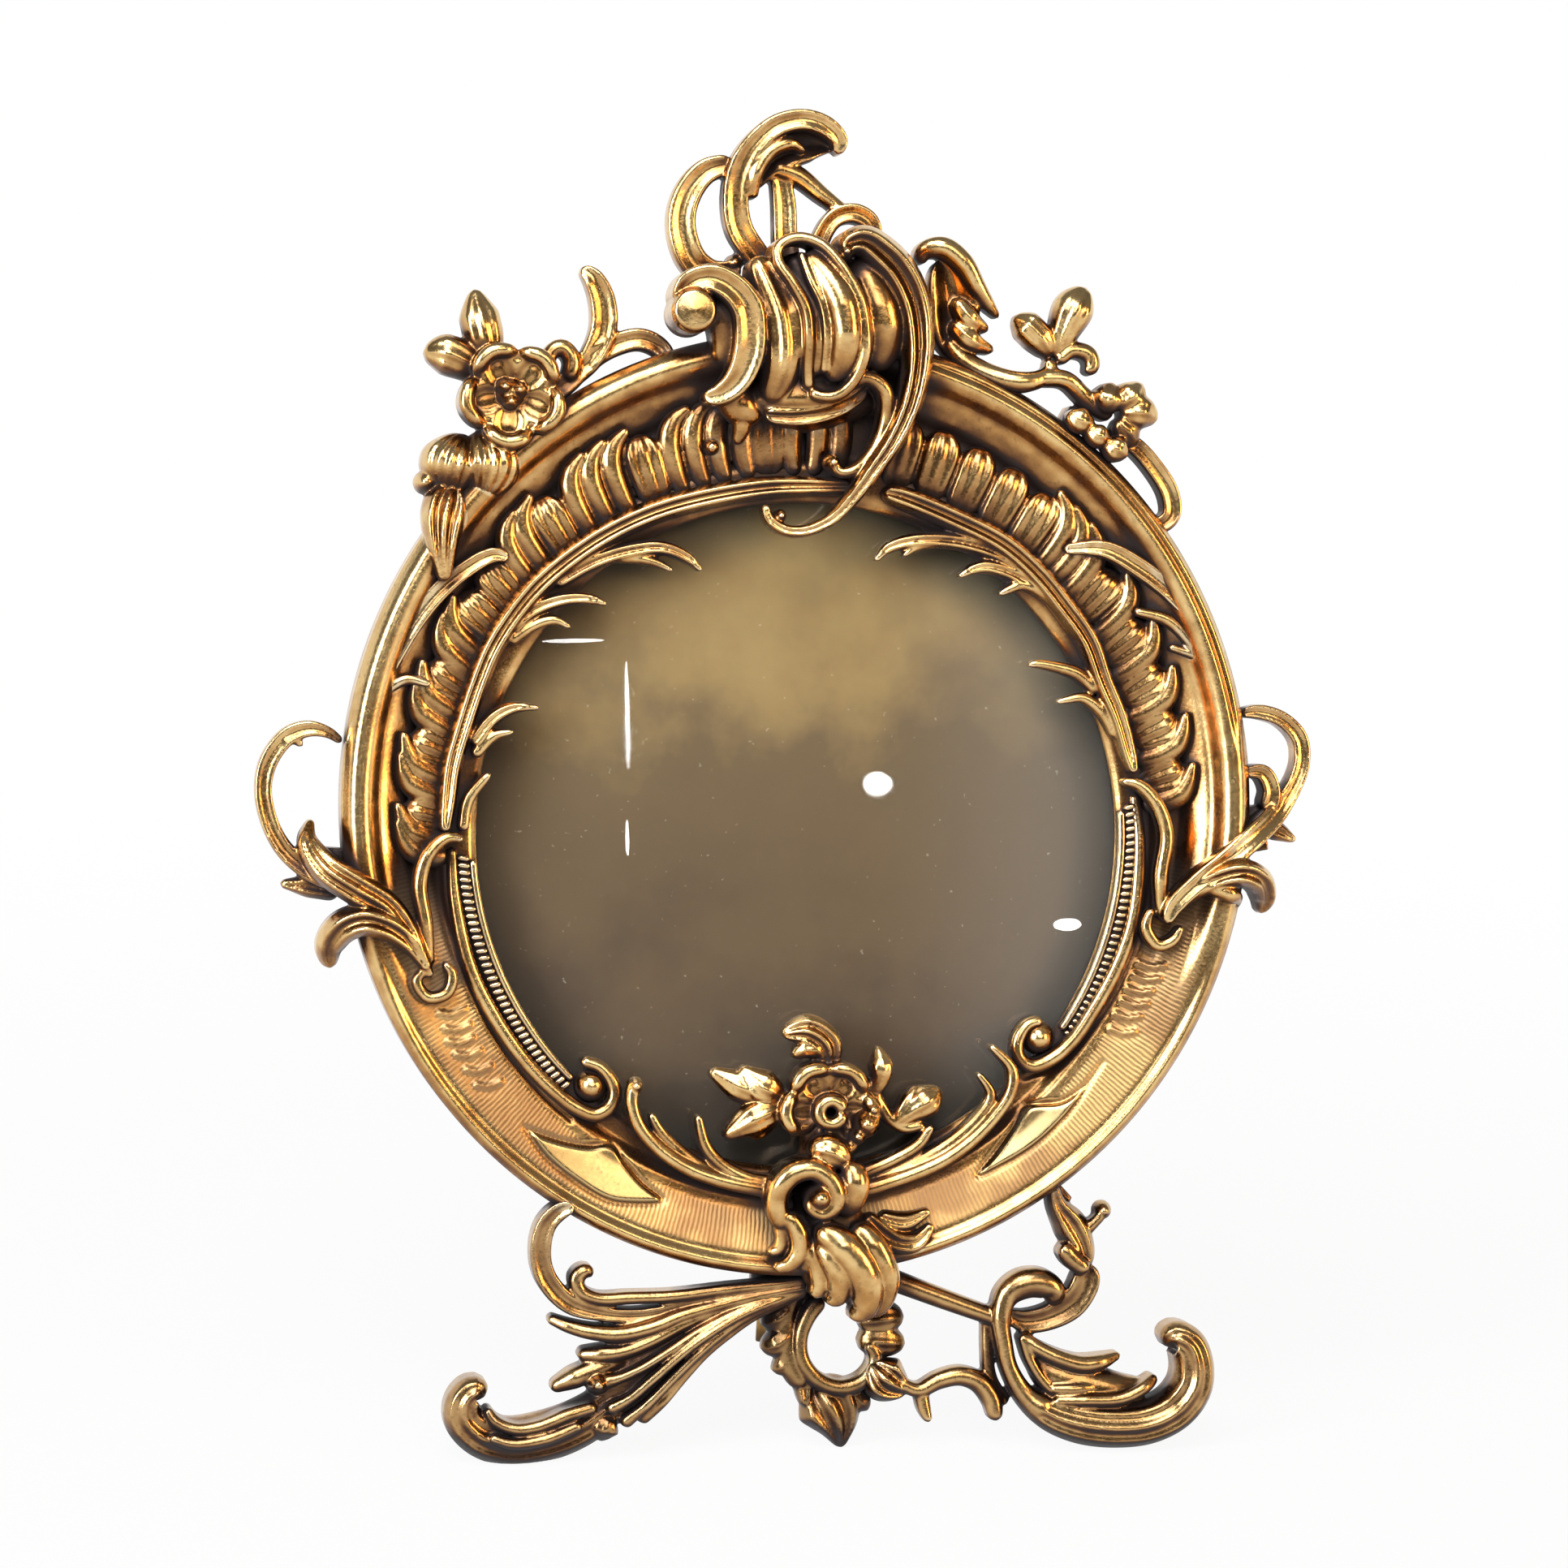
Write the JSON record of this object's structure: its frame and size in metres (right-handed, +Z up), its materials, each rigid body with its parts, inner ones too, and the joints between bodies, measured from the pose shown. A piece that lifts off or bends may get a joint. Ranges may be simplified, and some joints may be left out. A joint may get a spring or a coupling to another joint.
{
  "type": "table photo frame",
  "caption": "Oval rococo brass table photo frame with cast scrolls, flowers and scrolled feet, a glazed sight opening, a turn-buttoned back and a folding strut.",
  "frame": {"origin": "centre of the box that holds the whole frame, on the table top", "axes": "+Z up, -Y out of the front of the frame, +X to the viewer's right"},
  "size_m": [0.2076, 0.0794, 0.2566],
  "materials": {
    "gilt_brass": "antique gilt casting, rubbed bright on the high points, dark in the recesses",
    "sheet_brass": "brushed, dulled",
    "dark_brass": "aged satin",
    "screw_steel": "dull",
    "glass": "clear, dusty",
    "card": "aged olive-brown card",
    "board": "bare fibre board"
  },
  "bodies": {
    "frame": {"ring_casting": "gilt_brass", "crest_cartouche": "gilt_brass", "crest_finial": "gilt_brass", "rose_spray_left": "gilt_brass", "bellflower_spray_right": "gilt_brass", "side_scroll_left": "gilt_brass", "side_scroll_right": "gilt_brass", "rose_clasp": "gilt_brass", "foot_left": "gilt_brass", "foot_right": "gilt_brass", "pendant": "gilt_brass", "finial_screw": "screw_steel", "crest_screw_1": "screw_steel", "crest_screw_2": "screw_steel", "spray_screw_left": "screw_steel", "spray_screw_right": "screw_steel", "side_screw_left": "screw_steel", "side_screw_right": "screw_steel", "clasp_screw": "screw_steel", "foot_screw_left": "screw_steel", "foot_screw_right_1": "screw_steel", "foot_screw_right_2": "screw_steel", "pendant_screw": "screw_steel", "turn_button_screw_1": "screw_steel", "turn_button_screw_2": "screw_steel", "turn_button_screw_3": "screw_steel", "turn_button_screw_4": "screw_steel", "glass_pane": "glass", "photo_card": "card", "backing_board": "board", "back_plate": "sheet_brass", "hinge_leaf": "sheet_brass", "hinge_pin": "screw_steel", "hinge_rivet_1": "dark_brass", "hinge_rivet_2": "dark_brass"},
    "strut": {"strut": "sheet_brass"},
    "button_1": {"turn_button_1": "dark_brass"},
    "button_2": {"turn_button_2": "dark_brass"},
    "button_3": {"turn_button_3": "dark_brass"},
    "button_4": {"turn_button_4": "dark_brass"}
  },
  "joints": [
    {"name": "strut_hinge", "type": "hinge", "parent": "frame", "child": "strut", "pos_m": [0.00171, 0.00996, 0.14752], "axis": [1, 0, 0], "range_deg": [-22, 0]},
    {"name": "button_turn_1", "type": "hinge", "parent": "frame", "child": "button_1", "pos_m": [0.05984, 0.00844, 0.1607], "axis": [0, -0.9816, 0.1908], "continuous": true},
    {"name": "button_turn_2", "type": "hinge", "parent": "frame", "child": "button_2", "pos_m": [-0.05642, 0.00844, 0.1607], "axis": [0, -0.9816, 0.1908], "continuous": true},
    {"name": "button_turn_3", "type": "hinge", "parent": "frame", "child": "button_3", "pos_m": [-0.05829, -0.00769, 0.07768], "axis": [0, -0.9816, 0.1908], "continuous": true},
    {"name": "button_turn_4", "type": "hinge", "parent": "frame", "child": "button_4", "pos_m": [0.06171, -0.00769, 0.07768], "axis": [0, -0.9816, 0.1908], "continuous": true}
  ]
}
